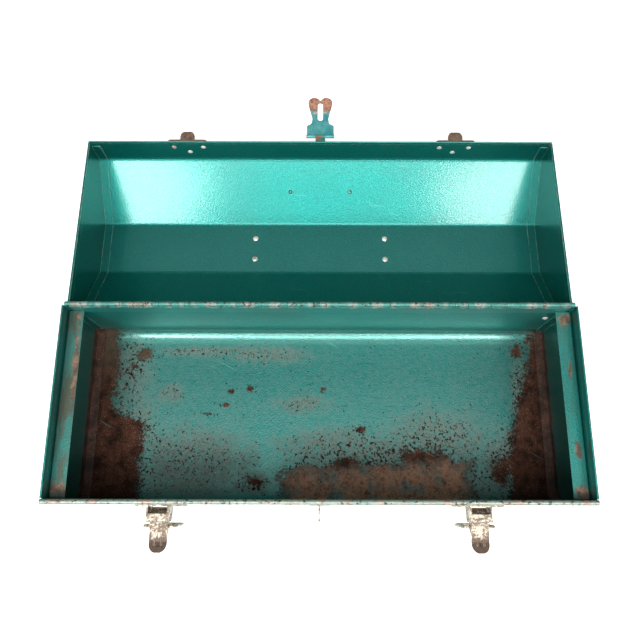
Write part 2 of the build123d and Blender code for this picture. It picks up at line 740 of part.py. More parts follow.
save(padlock_staple, "padlock_staple")

with BuildPart() as stay_rivet:
    add_rivet(stay_plane, BODY_SHEET, head=3.2, head_height=1.8)
save(stay_rivet, "stay_rivet")

# ================================================================ handle
arch = HANDLE_WIRE + 0.08
BRACKET = 1.5
for side, sign in SIDES.items():
    with BuildPart() as handle_bracket:
        with BuildSketch(LID_SECTION.offset(sign * HANDLE_X)):
            pivot_w = TOP - HANDLE_RISE
            with Locations((handle_u, TOP - BRACKET / 2)):
                Rectangle(34, BRACKET)
            with Locations((handle_u, TOP - HANDLE_RISE / 2)):
                Rectangle(2 * (arch + BRACKET), HANDLE_RISE)
            with Locations((handle_u, pivot_w)):
                Circle(arch + BRACKET)
                Circle(arch, mode=Mode.SUBTRACT)
            with Locations((handle_u, TOP - HANDLE_RISE / 2)):
                Rectangle(2 * arch, HANDLE_RISE, mode=Mode.SUBTRACT)
            with Locations((handle_u, TOP + arch)):
                Rectangle(4 * arch, 2 * arch, mode=Mode.SUBTRACT)
        extrude(amount=8, both=True)
        for place in handle_spots[side]:
            cut_rivet_hole(spot(TOP_PLANE, *place), BRACKET * 2)
    save(handle_bracket, f"handle_bracket_{side}")

    with BuildPart() as handle_rivets:
        for place in handle_spots[side]:
            seat = spot(TOP_PLANE.offset(BRACKET), *place)
            add_rivet(seat, BRACKET + LID_SHEET, head=4.0, head_height=2.0)
    save(handle_rivets, f"handle_rivets_{side}")

handle_pivot = HINGE + U * handle_u + W * (TOP - HANDLE_RISE)
droop = asin((handle_pivot.Z - GRIP_RADIUS - 0.2) / HANDLE_DEPTH)    # grip just off the floor
bail_plane = Plane(origin=handle_pivot, x_dir=X, z_dir=(0, sin(droop), cos(droop)))
BAIL_HALF = 61.0
with BuildPart() as handle_bail:
    with BuildLine(bail_plane) as route:
        FilletPolyline(
            (HANDLE_X + 10, 0),
            (BAIL_HALF, 0),
            (BAIL_HALF, HANDLE_DEPTH),
            (-BAIL_HALF, HANDLE_DEPTH),
            (-BAIL_HALF, 0),
            (-HANDLE_X - 10, 0),
            radius=(5.0, 12.0, 12.0, 5.0),
        )
    with BuildSketch(Plane(origin=route.line @ 0, z_dir=route.line % 0)):
        Circle(HANDLE_WIRE)
    sweep()
save(handle_bail, "handle_bail")

# Grip: a hollow barrel, fattest in the middle.
GRIP_HALF = 46.0
with BuildPart() as handle_grip:
    with BuildSketch(bail_plane):
        with BuildLine():
            bore = HANDLE_DEPTH + HANDLE_WIRE + RUNNING_FIT
            grip_end = HANDLE_DEPTH + GRIP_RADIUS * 0.8
            Polyline(
                (-GRIP_HALF, grip_end),
                (-GRIP_HALF, bore),
                (GRIP_HALF, bore),
                (GRIP_HALF, grip_end),
            )
            ThreePointArc(
                (GRIP_HALF, grip_end),
                (0, HANDLE_DEPTH + GRIP_RADIUS),
                (-GRIP_HALF, grip_end),
            )
        make_face()
    grip_centre = bail_plane.from_local_coords((0, HANDLE_DEPTH, 0))
    revolve(axis=Axis(grip_centre, X))
save(handle_grip, "handle_grip")

print("handle pivot", handle_pivot, "droop", round(degrees(droop), 3))
print("hasp pivot", hasp_pivot)
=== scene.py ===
from math import radians

import bpy
from mathutils import Matrix, Vector


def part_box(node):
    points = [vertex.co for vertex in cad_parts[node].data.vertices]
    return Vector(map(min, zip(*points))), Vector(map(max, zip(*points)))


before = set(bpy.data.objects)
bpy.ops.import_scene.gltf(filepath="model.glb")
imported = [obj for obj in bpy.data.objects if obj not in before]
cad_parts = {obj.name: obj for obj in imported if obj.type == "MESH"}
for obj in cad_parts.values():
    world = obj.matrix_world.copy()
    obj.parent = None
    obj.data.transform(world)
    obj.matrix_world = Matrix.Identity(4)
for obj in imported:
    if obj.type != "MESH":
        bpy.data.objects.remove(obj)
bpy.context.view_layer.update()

MM = 0.001

# ---------------------------------------------------------------- driving places
shell_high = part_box("body_shell")[1]
HALF_LENGTH, HALF_WIDTH, RIM_Z = shell_high
FLOOR_BEND = 11.5 * MM                  # outside radius of the floor's long bends
REAR_BEND = HALF_WIDTH - FLOOR_BEND     # where the floor starts to turn up into the rear wall
LEAF_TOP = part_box("hinge_pin")[0].z - 3 * MM    # the hinge's leaves lie below its barrels
KNUCKLES_A_METRE = 79                   # along the hinge

# ---------------------------------------------------------------- colours, linear RGB
TEAL = (0.001, 0.240, 0.206)
TEAL_DEEP = (0.001, 0.135, 0.118)
TEAL_PALE = (0.13, 0.40, 0.34)
GREY_FILM = (0.14, 0.21, 0.19)
OLIVE = (0.10, 0.10, 0.07)
RUST_DARK = (0.018, 0.008, 0.005)
RUST_BROWN = (0.076, 0.030, 0.019)
RUST_TAN = (0.36, 0.20, 0.13)
RUST_PINK = (0.36, 0.20, 0.15)
CREAM = (0.56, 0.50, 0.40)
PRIMER = (0.32, 0.35, 0.30)
GRIME_GREEN = (0.06, 0.10, 0.08)
GRIME_BROWN = (0.07, 0.06, 0.038)
STEEL_WORN = (0.44, 0.38, 0.31)
STEEL_DULL = (0.19, 0.14, 0.10)
STEEL_BROWN = (0.12, 0.070, 0.045)
RIVET_BRIGHT = (0.86, 0.84, 0.78)
RIVET_DULL = (0.62, 0.57, 0.48)
CATCH_TAN = (0.34, 0.24, 0.17)
CATCH_DARK = (0.07, 0.04, 0.028)
BRASS = (0.56, 0.42, 0.20)
BRASS_DULL = (0.33, 0.24, 0.12)
HASP_TEAL = (0.035, 0.26, 0.27)
HASP_PALE = (0.11, 0.38, 0.38)
LOBE_PINK = (0.62, 0.31, 0.21)
LOBE_BROWN = (0.46, 0.22, 0.15)
KNUCKLE_GREY = (0.24, 0.31, 0.27)
KNUCKLE_TEAL = (0.06, 0.25, 0.21)
LEDGE_TAN = (0.24, 0.14, 0.085)
GRIP_BLACK = (0.012, 0.013, 0.014)
GRIP_DUST = (0.06, 0.055, 0.05)
FLOOR_PALE = (0.90, 0.90, 0.90)
FLOOR_PALER = (0.93, 0.93, 0.93)


class Shader:
    """One procedural material. Its methods add nodes and return their output sockets."""

    def __init__(self, name):
        self.material = bpy.data.materials.new(name)
        self.material.use_nodes = True
        self.tree = self.material.node_tree
        self.surface = self.tree.nodes["Principled BSDF"]
        self.place = self.add("ShaderNodeTexCoord").outputs["Object"]
        self.x, self.y, self.z = self.add("ShaderNodeSeparateXYZ", [self.place]).outputs

    def feed(self, socket, value):
        """Link a socket into an input, or set the input's own number."""
        if isinstance(value, bpy.types.NodeSocket):
            self.tree.links.new(value, socket)
        elif isinstance(value, tuple) and socket.type == "RGBA":
            socket.default_value = (*value, 1.0)
        else:
            socket.default_value = value

    def add(self, kind, inputs=(), **settings):
        """A node with its settings, and its first inputs fed in order."""
        node = self.tree.nodes.new(kind)
        for name, value in settings.items():
            setattr(node, name, value)
        for socket, value in zip(node.inputs, inputs):
            self.feed(socket, value)
        return node

    def math(self, operation, *values):
        """One step of arithmetic on numbers or sockets. The next three are its commonest kinds."""
        return self.add("ShaderNodeMath", values, operation=operation).outputs[0]

    def times(self, *values):
        return self.math("MULTIPLY", *values)

    def plus(self, *values):
        return self.math("ADD", *values)

    def minus(self, *values):
        return self.math("SUBTRACT", *values)

    def swing(self, noise, width):
        """Noise moved to lie about 0, and made `width` wide."""
        return self.times(self.minus(noise, 0.5), width)

    def most(self, values):
        """The largest of several values."""
        values = list(values)
        top = values[0]
        for value in values[1:]:
            top = self.math("MAXIMUM", top, value)
        return top

    def band(self, value, low, high, to_low=0.0, to_high=1.0):
        """Smooth step from to_low at low to to_high at high."""
        node = self.add("ShaderNodeMapRange", interpolation_type="SMOOTHSTEP")
        for name, number in (("Value", value), ("From Min", low), ("From Max", high),
                             ("To Min", to_low), ("To Max", to_high)):
            self.feed(node.inputs[name], number)
        return node.outputs["Result"]

    def scaled(self, vector, factors):
        """A vector, scaled along each axis."""
        return self.add("ShaderNodeVectorMath", [vector, factors], operation="MULTIPLY").outputs[0]

    def noise(self, scale, detail=3.0, roughness=0.55, stretch=None, seed=0.0):
        """Fractal noise about 0.5, with `scale` features a metre."""
        node = self.add("ShaderNodeTexNoise", noise_dimensions="4D")
        where = self.scaled(self.place, stretch) if stretch else self.place
        self.feed(node.inputs["Vector"], where)
        for name, number in (("W", seed), ("Scale", scale), ("Detail", detail), ("Roughness", roughness)):
            self.feed(node.inputs[name], number)
        return node.outputs["Fac"]

    def cells(self, scale):
        """Distance to the nearest of `scale` scattered points a metre, smoothed between them."""
        node = self.add("ShaderNodeTexVoronoi", feature="SMOOTH_F1")
        self.feed(node.inputs["Vector"], self.place)
        self.feed(node.inputs["Scale"], scale)
        return node.outputs["Distance"]

    def oval(self, middle, radii):
        """1 at the middle of an ellipsoid, 0 on it and less outside. A radius of None doesn't count."""
        offset = self.add("ShaderNodeVectorMath", [self.place, middle], operation="SUBTRACT").outputs[0]
        shrink = tuple(1.0 / radius if radius else 0.0 for radius in radii)
        inside = self.scaled(offset, shrink)
        length = self.add("ShaderNodeVectorMath", [inside], operation="LENGTH").outputs["Value"]
        return self.minus(1.0, length)

    def between(self, kind, share, under, over):
        """A value between two others. A Mix node has a pair of inputs and an output for each kind."""
        node = self.add("ShaderNodeMix", data_type=kind)
        first, output = {"FLOAT": (2, 0), "RGBA": (6, 2)}[kind]
        for socket, value in zip((node.inputs[0], *node.inputs[first:first + 2]), (share, under, over)):
            self.feed(socket, value)
        return node.outputs[output]

    def mix(self, share, under, over):
        """A colour between two others."""
        return self.between("RGBA", share, under, over)

    def blend(self, share, under, over):
        """A number between two others."""
        return self.between("FLOAT", share, under, over)

    def bump(self, height, depth, under=None):
        """Surface relief, `depth` metres from height 0 to 1."""
        node = self.add("ShaderNodeBump")
        self.feed(node.inputs["Distance"], depth)
        self.feed(node.inputs["Height"], height)
        if under:
            self.feed(node.inputs["Normal"], under)
        return node.outputs["Normal"]

    def edges(self, radius):
        """1 on sharp edges, 0 on flat and on inner faces."""
        node = self.add("ShaderNodeBevel", [radius], samples=4)
        plain = self.add("ShaderNodeNewGeometry").outputs["Normal"]
        along = self.add("ShaderNodeVectorMath", [node.outputs[0], plain], operation="DOT_PRODUCT")
        return self.band(along.outputs["Value"], 0.995, 0.90)

    def finish(self, **sockets):
        for name, value in sockets.items():
            self.feed(self.surface.inputs[name.replace("_", " ")], value)
        return self.material


# ---------------------------------------------------------------- paint
def hammertone(sh, dust, gloss):
    """Teal hammertone paint: base colour, roughness and relief, with a share of dust over it."""
    dimples = sh.cells(780)
    mottle = sh.noise(700, 3.0, 0.7)
    patch = sh.noise(9, 3.0, seed=2.0)
    flake = sh.band(sh.plus(dimples, sh.times(mottle, 0.5)), 0.35, 0.85)
    colour = sh.mix(sh.times(flake, 0.55), TEAL, TEAL_DEEP)
    colour = sh.mix(sh.times(sh.band(patch, 0.35, 0.7), dust), colour, GREY_FILM)
    roughness = sh.blend(sh.band(patch, 0.3, 0.7), gloss, gloss + 0.08)
    waves = sh.bump(sh.noise(7, 1.0, seed=5.0), 0.5 * MM)
    relief = sh.bump(sh.plus(dimples, sh.times(mottle, 0.4)), 0.26 * MM, waves)
    return colour, roughness, relief


def streaks(sh, turn, share, seed):
    """Straight hair scratches, `turn` radians from the box's length, in a few places."""
    turned = sh.add("ShaderNodeVectorRotate", rotation_type="Z_AXIS")
    sh.feed(turned.inputs["Vector"], sh.place)
    sh.feed(turned.inputs["Angle"], turn)
    drawn = sh.scaled(turned.outputs[0], (12.0, 330.0, 330.0))
    line = sh.add("ShaderNodeTexNoise", noise_dimensions="4D")
    for name, value in (("Vector", drawn), ("W", seed), ("Scale", 1.0), ("Detail", 0.0)):
        sh.feed(line.inputs[name], value)
    where = sh.band(sh.noise(14, 2.0, seed=seed + 1), 0.60 - share, 0.70 - share)
    return sh.times(sh.band(line.outputs["Fac"], 0.74, 0.80), where)


def rust_colour(sh):
    """Dark brown rust, broken by tan and pale grains."""
    broad = sh.noise(60, 5.0, 0.7, seed=7.0)
    grain = sh.noise(820, 4.0, 0.75, seed=8.0)
    colour = sh.mix(sh.band(broad, 0.36, 0.62), RUST_DARK, RUST_BROWN)
    colour = sh.mix(sh.band(grain, 0.36, 0.46, 0.55, 0.0), colour, RUST_DARK)
    return sh.mix(sh.times(sh.band(grain, 0.56, 0.68), sh.band(broad, 0.35, 0.60, 0.25, 1.0)),
                  colour, RUST_TAN)


# Marks on the box's floor, as ovals in millimetres from its middle: x, y, half length, half width.
RUST_SPOTS = [
    (-197, 67, 11, 9), (46, -18, 7, 5), (223, 70, 7, 9), (198, -62, 15, 20), (112, -48, 30, 16),
    (28, -58, 18, 12), (-98, 24, 4, 3), (-77, 27, 5, 4), (4, 27, 4, 3), (-207, 52, 4, 3),
    (-104, 9, 5, 2), (-124, -1, 7, 2), (-68, -74, 10, 5),
]
GREY_SPOTS = [
    (70, -50, 110, 34), (130, -24, 60, 34), (196, -55, 26, 40), (-75, -74, 24, 14), (-166, 22, 18, 13),
    (-140, -52, 76, 46), (-206, 34, 12, 10), (-130, 69, 68, 7), (20, -34, 70, 22), (-205, -20, 30, 60),
    (-212, 50, 26, 40), (224, 20, 12, 60), (90, -86, 130, 30), (-60, 66, 60, 12), (-20, 10, 34, 12),
]


def floor_ovals(sh, spots):
    return sh.most(sh.oval((x * MM, y * MM, 0.0), (a * MM, b * MM, None)) for x, y, a, b in spots)


def front_strip(sh):
    """How far a point lies inside the rust along the front wall: 0 at its edge."""
    back = sh.band(sh.x, 0.0, 120 * MM, -HALF_WIDTH + 36.5 * MM, -HALF_WIDTH + 44.5 * MM)
    from_back = sh.math("DIVIDE", sh.minus(back, sh.y), 14 * MM)
    from_left = sh.math("DIVIDE", sh.minus(sh.x, -46 * MM), 24 * MM)
    from_right = sh.math("DIVIDE", sh.minus(166 * MM, sh.x), 20 * MM)
    return sh.math("MINIMUM", from_back, sh.math("MINIMUM", from_left, from_right))


def rust_zone(sh, strip):
    """How far a point of the floor lies inside its heavy rust: 0 at the edge, 1.2 at most."""
    left_edge = sh.band(sh.y, 4 * MM, -14 * MM, -HALF_LENGTH + 32 * MM, -HALF_LENGTH + 66 * MM)
    left_band = sh.math("DIVIDE", sh.minus(left_edge, sh.x), 16 * MM)
    right_edge = sh.band(sh.y, 90 * MM, -70 * MM, HALF_LENGTH - 22 * MM, HALF_LENGTH - 54 * MM)
    right_band = sh.math("DIVIDE", sh.minus(sh.x, right_edge), 14 * MM)
    zone = sh.most([left_band, right_band, strip, floor_ovals(sh, RUST_SPOTS)])
    return sh.math("MAXIMUM", sh.math("MINIMUM", zone, 1.2), -2.0)


def floor_rust(sh, strip, speckle, mottled):
    """The floor's rust, with painted shade darkening it at the walls; tan and grey along the front, olive at
    the rear left.
    """
    # Painted shade: within 16 mm of the end walls and 14.5 mm of the front wall, the rust is mixed towards
    # dark brown, where the walls shade the floor.
    shade_at_left = sh.band(sh.x, -HALF_LENGTH + 16 * MM, -HALF_LENGTH + 4 * MM)
    shade_at_right = sh.band(sh.x, HALF_LENGTH - 16 * MM, HALF_LENGTH - 4 * MM)
    shade_at_front = sh.band(sh.y, -HALF_WIDTH + 14.5 * MM, -HALF_WIDTH + 2.5 * MM)
    rust = sh.mix(sh.times(sh.most([shade_at_left, shade_at_right, shade_at_front]), 0.8), rust_colour(sh), RUST_DARK)
    grain = sh.plus(speckle, sh.swing(mottled, 3.0))
    grains = sh.times(sh.band(strip, -0.2, 1.0), sh.band(grain, -0.9, 0.4, 0.10, 0.95))
    stain = sh.band(sh.noise(40, 4.0, 0.7, seed=17.0), 0.45, 0.65)
    rust = sh.mix(grains, rust, sh.mix(stain, RUST_TAN, GREY_FILM))
    rear_left = sh.times(sh.band(sh.y, 20 * MM, 80 * MM, 0.0, 0.35), sh.band(sh.x, 0.0, -100 * MM))
    return sh.mix(rear_left, rust, OLIVE)


def worn_rim(sh, colour):
    """The rolled rim is rubbed to a pale primer and rust along its top."""
    on_top = sh.band(sh.z, RIM_Z - 5 * MM, RIM_Z - 1.5 * MM)
    rim = sh.times(on_top, sh.band(sh.y, -HALF_WIDTH + 14.5 * MM, -HALF_WIDTH + 9.5 * MM))
    long_noise = sh.noise(60, 4.0, 0.7, stretch=(0.35, 2.0, 2.0), seed=9.0)
    colour = sh.mix(sh.times(rim, sh.band(long_noise, 0.34, 0.52, 0.45, 0.85)), colour, PRIMER)
    pink = sh.band(sh.noise(130, 5.0, 0.75, seed=10.0), 0.52, 0.58, 0.0, 0.7)
    colour = sh.mix(sh.times(rim, pink), colour, RUST_PINK)
    dark = sh.band(sh.noise(260, 4.0, 0.75, seed=13.0), 0.54, 0.59, 0.0, 0.9)
    return sh.mix(sh.times(rim, dark), colour, RUST_DARK)


def floor_paint():
    """The body sheet: worn floor with rust at its ends and along the front, cleaner walls, painted shade on
    the rust at the walls and a painted highlight along the rear bend.
    """
    sh = Shader("body_paint")
    colour, roughness, relief = hammertone(sh, 0.22, 0.38)
    inner = sh.band(sh.z, 0.3 * MM, 0.7 * MM)
    low = sh.times(inner, sh.band(sh.z, 15 * MM, 9 * MM))
    wander = sh.swing(sh.noise(46, 6.0, 0.70, seed=3.0), 3.0)
    speckle = sh.swing(sh.noise(520, 4.0, 0.80, seed=4.0), 3.4)
    mottled = sh.noise(170, 4.0, 0.75, seed=15.0)
    strip = front_strip(sh)
    zone = rust_zone(sh, strip)
    halo = sh.plus(floor_ovals(sh, GREY_SPOTS), sh.times(wander, 0.5))

    # Each mark's share of the surface: heavy rust, grey film, pits with pinholes, chips, scuffs, tan crumbs,
    # and the painted highlight along the rear bend.
    heavy = sh.times(sh.band(sh.plus(zone, sh.plus(wander, speckle)), 0.0, 0.5), low)
    film = sh.times(sh.band(halo, -0.3, 0.7), sh.band(mottled, 0.34, 0.56, 0.15, 0.9))
    film = sh.times(film, low)
    pit_level = sh.plus(sh.noise(330, 3.0, 0.68, seed=6.0), sh.band(halo, -0.4, 0.9, 0.0, 0.08))
    pit_level = sh.plus(pit_level, sh.band(zone, -2.0, 0.2, 0.0, 0.05))
    pinholes = sh.plus(sh.noise(760, 3.0, 0.7, seed=19.0), sh.band(halo, -0.6, 0.9, 0.0, 0.07))
    pits = sh.math("MAXIMUM", sh.band(pit_level, 0.645, 0.675), sh.band(pinholes, 0.67, 0.71))
    pits = sh.times(pits, low)
    chips = sh.times(sh.band(sh.noise(120, 4.0, 0.7, seed=16.0), 0.67, 0.70), low)
    along_noise = sh.noise(150, 5.0, 0.75, stretch=(0.35, 2.2, 1.0), seed=18.0)
    scuffs = sh.times(sh.band(along_noise, 0.55, 0.64, 0.0, 0.80), low)
    crumbs = sh.math("MAXIMUM", sh.band(halo, 0.0, 0.8), sh.band(zone, -1.2, -0.2))
    crumbs = sh.times(sh.times(crumbs, sh.band(speckle, 0.50, 0.75)), low)
    # Where the floor starts to bend up into the rear wall: a painted highlight in the colour, and glossier
    # paint in the finish.
    bend_highlight = sh.times(sh.band(sh.y, REAR_BEND - 7 * MM, REAR_BEND - 1 * MM), sh.band(sh.z, 9 * MM, 5 * MM))

    darker_right = sh.band(sh.x, 130 * MM, 200 * MM, 0.40, 1.0)
    colour = sh.mix(sh.times(darker_right, low), colour, TEAL_DEEP)
    colour = sh.mix(sh.times(sh.band(mottled, 0.35, 0.65, 0.10, 0.35), low), colour, GREY_FILM)
    colour = sh.mix(scuffs, colour, TEAL_DEEP)
    colour = sh.mix(film, colour, sh.mix(sh.band(speckle, -0.4, 0.6), GREY_FILM, OLIVE))
    colour = sh.mix(crumbs, colour, RUST_TAN)
    colour = sh.mix(sh.times(chips, 0.8), colour, RUST_BROWN)
    # Painted highlight: the floor's turn-up into the rear wall is mixed towards pale teal, where the lamps
    # shine back from the bend.
    colour = sh.mix(sh.times(bend_highlight, 0.45), colour, TEAL_PALE)
    colour = sh.mix(pits, colour, RUST_DARK)
    colour = sh.mix(heavy, colour, floor_rust(sh, sh.plus(strip, wander), speckle, mottled))
    scratches = sh.times(streaks(sh, 0.5, 0.06, 11.0), inner)
    colour = sh.mix(sh.times(scratches, 0.4), colour, TEAL_PALE)
    colour = worn_rim(sh, colour)

    dull = sh.most([heavy, pits, sh.times(film, 0.8), chips])
    crust = sh.times(sh.noise(700, 3.0, 0.7, seed=12.0), heavy)
    return sh.finish(
        Base_Color=colour,
        Metallic=sh.blend(dull, sh.blend(bend_highlight, 0.50, 0.65), 0.0),
        Roughness=sh.blend(dull, sh.blend(bend_highlight, roughness, 0.26), 0.85),
        Specular_IOR_Level=sh.blend(dull, 0.4, 0.1),
        Normal=sh.bump(crust, 0.35 * MM, relief),
        Coat_Weight=sh.blend(dull, sh.blend(bend_highlight, 0.30, 0.9), 0.0),
        Coat_Roughness=0.27,
    )


def wall_paint(name, dust, gloss, rub, rusty_foot=False):
    """Hammertone on the lid and end plates, rubbed pale and rusty along sheet edges."""
    sh = Shader(name)
    colour, roughness, relief = hammertone(sh, dust, gloss)
    marks = sh.math("MAXIMUM", streaks(sh, 0.15, 0.06, 21.0), streaks(sh, 1.1, 0.02, 26.0))
    colour = sh.mix(sh.times(marks, 0.25), colour, TEAL_PALE)
    specks = sh.band(sh.noise(170, 2.0, 0.6, seed=25.0), 0.76, 0.79)
    colour = sh.mix(specks, colour, RUST_DARK)
    edge = sh.edges(0.9 * MM)
    broken = sh.band(sh.noise(85, 4.0, 0.7, seed=22.0), 0.56 - 0.25 * rub, 0.68 - 0.25 * rub)
    worn = sh.times(edge, broken)
    bare = sh.mix(sh.band(sh.noise(160, 3.0, 0.6, seed=23.0), 0.48, 0.58), TEAL_PALE, CREAM)
    bare = sh.mix(sh.band(sh.noise(45, 4.0, 0.7, seed=24.0), 0.57, 0.62), bare, RUST_BROWN)
    colour = sh.mix(sh.times(worn, 0.8), colour, bare)
    if rusty_foot:
        grain = sh.times(sh.noise(90, 5.0, 0.75, seed=27.0), 16 * MM)
        climb = sh.band(sh.x, -100 * MM, 100 * MM, 3 * MM, 0.0)
        foot = sh.band(sh.minus(sh.z, sh.plus(grain, climb)), 4 * MM, 0.0)
        colour = sh.mix(foot, colour, rust_colour(sh))
        worn = sh.math("MAXIMUM", worn, foot)
    return sh.finish(
        Base_Color=colour,
        Metallic=sh.blend(worn, 0.80, 0.1),
        Roughness=sh.blend(worn, roughness, 0.6),
        Normal=relief,
        Coat_Weight=sh.blend(worn, 0.66, 0.0),
        Coat_Roughness=0.17,
        Coat_Normal=sh.bump(sh.cells(520), 0.05 * MM),
    )


def ledge_paint():
    """Tray ledges: paint rubbed through to tan rust where a tray slides."""
    sh = Shader("ledge_paint")
    colour, roughness, relief = hammertone(sh, 0.2, 0.45)
    low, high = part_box("tray_ledge_right")
    middle = (low.x + high.x) / 2
    top = high.z
    streak = sh.noise(26, 5.0, 0.7, stretch=(3.0, 0.8, 1.0), seed=31.0)
    grey_side = sh.band(sh.x, middle, -middle, 0.45, 1.0)
    worn_film = sh.times(sh.band(streak, 0.34, 0.62, 0.30, 0.9), grey_side)
    grime = sh.mix(sh.band(streak, 0.46, 0.56), GRIME_GREEN, GRIME_BROWN)
    colour = sh.mix(worn_film, colour, grime)
    left_tan = sh.oval((4.7 * MM - middle, 45 * MM, top), (5 * MM, 62 * MM, None))
    lone_tan = sh.oval((1.2 * MM - middle, -82 * MM, top), (12 * MM, 12 * MM, None))
    right_tan = sh.most(
        sh.oval((middle + 0.8 * MM, y * MM, top), (a * MM, b * MM, None))
        for y, a, b in ((84, 9, 10), (32, 3, 16), (-45, 5, 14), (-83, 8, 8))
    )
    grain = sh.swing(sh.noise(120, 5.0, 0.75, seed=32.0), 3.2)
    rubbed = sh.plus(sh.most([sh.plus(left_tan, -0.1), lone_tan, right_tan]), grain)
    rubbed = sh.band(rubbed, 0.15, 0.60)
    tan = sh.mix(sh.band(sh.noise(90, 4.0, 0.7, seed=33.0), 0.36, 0.58), LEDGE_TAN, RUST_BROWN)
    colour = sh.mix(sh.times(rubbed, 0.85), colour, tan)
    colour = sh.mix(sh.times(sh.edges(0.8 * MM), 0.4), colour, GREY_FILM)
    return sh.finish(
        Base_Color=colour,
        Metallic=sh.blend(rubbed, 0.4, 0.0),
        Roughness=sh.blend(rubbed, roughness, 0.8),
        Normal=relief,
    )


# ---------------------------------------------------------------- bare and rusted metal
def old_metal(name, base, tarnish, rust_share=0.3, metallic=0.75):
    """Plated or bare steel with tarnish, rust specks and rubbed edges."""
    sh = Shader(name)
    cloud = sh.noise(90, 4.0, 0.65, seed=41.0)
    fleck = sh.noise(420, 3.0, 0.7, seed=42.0)
    colour = sh.mix(sh.band(cloud, 0.38, 0.62), base, tarnish)
    rusty = sh.plus(sh.times(cloud, 0.6), sh.times(fleck, 0.4))
    rusty = sh.band(rusty, 0.60 - 0.25 * rust_share, 0.68 - 0.25 * rust_share)
    colour = sh.mix(rusty, colour, sh.mix(fleck, RUST_DARK, RUST_TAN))
    rubbed = sh.times(sh.edges(0.5 * MM), sh.band(cloud, 0.35, 0.55))
    colour = sh.mix(sh.times(rubbed, 0.7), colour, base)
    relief = sh.bump(fleck, 0.06 * MM)
    return sh.finish(
        Base_Color=colour,
        Metallic=sh.blend(rusty, metallic, 0.0),
        Roughness=sh.blend(rusty, 0.42, 0.85),
        Normal=relief,
    )


def knuckle_metal():
    """Hinge barrels: alternate knuckles differ, some painted, some rubbed to cream metal or rust."""
    sh = Shader("hinge_steel")
    step = sh.noise(KNUCKLES_A_METRE, 0.0, stretch=(1.0, 0.0, 0.0), seed=51.0)
    fine = sh.noise(260, 4.0, 0.75, seed=52.0)
    colour = sh.mix(sh.band(step, 0.40, 0.52), KNUCKLE_GREY, KNUCKLE_TEAL)
    rubbed = sh.band(sh.noise(24, 4.0, 0.7, stretch=(1, 0, 0), seed=53.0), 0.54, 0.62, 0.0, 0.6)
    colour = sh.mix(rubbed, colour, RUST_PINK)
    colour = sh.mix(sh.band(fine, 0.53, 0.60), colour, RUST_BROWN)
    leaf = sh.band(sh.z, LEAF_TOP, LEAF_TOP - 1 * MM)
    paint, roughness, relief = hammertone(sh, 0.4, 0.34)
    colour = sh.mix(leaf, colour, paint)
    return sh.finish(
        Base_Color=colour,
        Metallic=0.35,
        Roughness=sh.blend(leaf, 0.5, roughness),
        Normal=relief,
    )


def latch_metal():
    """Latch levers, links and bases: brown aged plating, creamy where fingers rub, darkest at the tip."""
    sh = Shader("latch_steel")
    low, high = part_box("latch_lever_left")
    cloud = sh.noise(130, 5.0, 0.7, seed=81.0)
    fleck = sh.noise(520, 4.0, 0.75, seed=82.0)
    outward = sh.band(sh.y, low.y + 0.45 * (high.y - low.y), low.y + 0.20 * (high.y - low.y))
    colour = sh.mix(sh.band(cloud, 0.40, 0.60), STEEL_DULL, STEEL_BROWN)
    creamy = sh.plus(sh.times(cloud, 0.45), sh.times(fleck, 0.55))
    creamy = sh.band(sh.minus(creamy, sh.times(outward, 0.10)), 0.47, 0.54)
    colour = sh.mix(creamy, colour, CREAM)
    colour = sh.mix(sh.times(outward, sh.band(cloud, 0.30, 0.55, 0.9, 0.3)), colour, RUST_DARK)
    rubbed = sh.times(sh.edges(0.5 * MM), sh.band(cloud, 0.35, 0.50))
    colour = sh.mix(sh.times(rubbed, 0.8), colour, STEEL_WORN)
    return sh.finish(
        Base_Color=colour,
        Metallic=sh.blend(creamy, 0.35, 0.6),
        Roughness=sh.blend(creamy, 0.55, 0.42),
        Normal=sh.bump(fleck, 0.08 * MM),
    )


def hasp_metal():
    """The hasp strap: worn turquoise paint near the hinge, rusty lobes with a speckled border."""
    sh = Shader("hasp_paint")
    low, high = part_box("hasp_strap")
    reach = high.y - low.y
    along = sh.band(sh.y, low.y + 0.50 * reach, low.y + 0.80 * reach)
    speckle = sh.noise(330, 4.0, 0.7, seed=61.0)
    cloud = sh.noise(80, 3.0, 0.6, seed=62.0)
    field = sh.plus(along, sh.swing(speckle, 1.5))
    bare = sh.band(field, 0.36, 0.60)
    paint = sh.mix(sh.band(cloud, 0.35, 0.65), HASP_TEAL, HASP_PALE)
    metal = sh.mix(sh.band(cloud, 0.40, 0.62), LOBE_PINK, LOBE_BROWN)
    metal = sh.mix(sh.band(sh.noise(420, 3.0, 0.7, seed=63.0), 0.48, 0.60, 0.0, 0.75), metal, RUST_BROWN)
    primer = sh.times(sh.band(field, 0.16, 0.30), sh.band(speckle, 0.42, 0.56))
    paint = sh.mix(primer, paint, CREAM)
    colour = sh.mix(bare, paint, metal)
    edge = sh.times(sh.edges(0.7 * MM), sh.band(cloud, 0.40, 0.50))
    colour = sh.mix(edge, colour, RUST_BROWN)
    return sh.finish(
        Base_Color=colour,
        Metallic=sh.blend(bare, 0.25, 0.35),
        Roughness=sh.blend(bare, 0.45, 0.6),
        Normal=sh.bump(speckle, 0.05 * MM),
    )


def rubber_grip():
    """Moulded grip: black, fine pebbled, dusty in the hollows and scuffed on its crown."""
    sh = Shader("grip_rubber")
    pebble = sh.cells(900)
    scuff = sh.band(sh.noise(40, 5.0, 0.7, seed=71.0), 0.55, 0.70)
    colour = sh.mix(scuff, GRIP_BLACK, GRIP_DUST)
    return sh.finish(
        Base_Color=colour,
        Roughness=sh.blend(scuff, 0.55, 0.75),
        Normal=sh.bump(pebble, 0.15 * MM),
    )


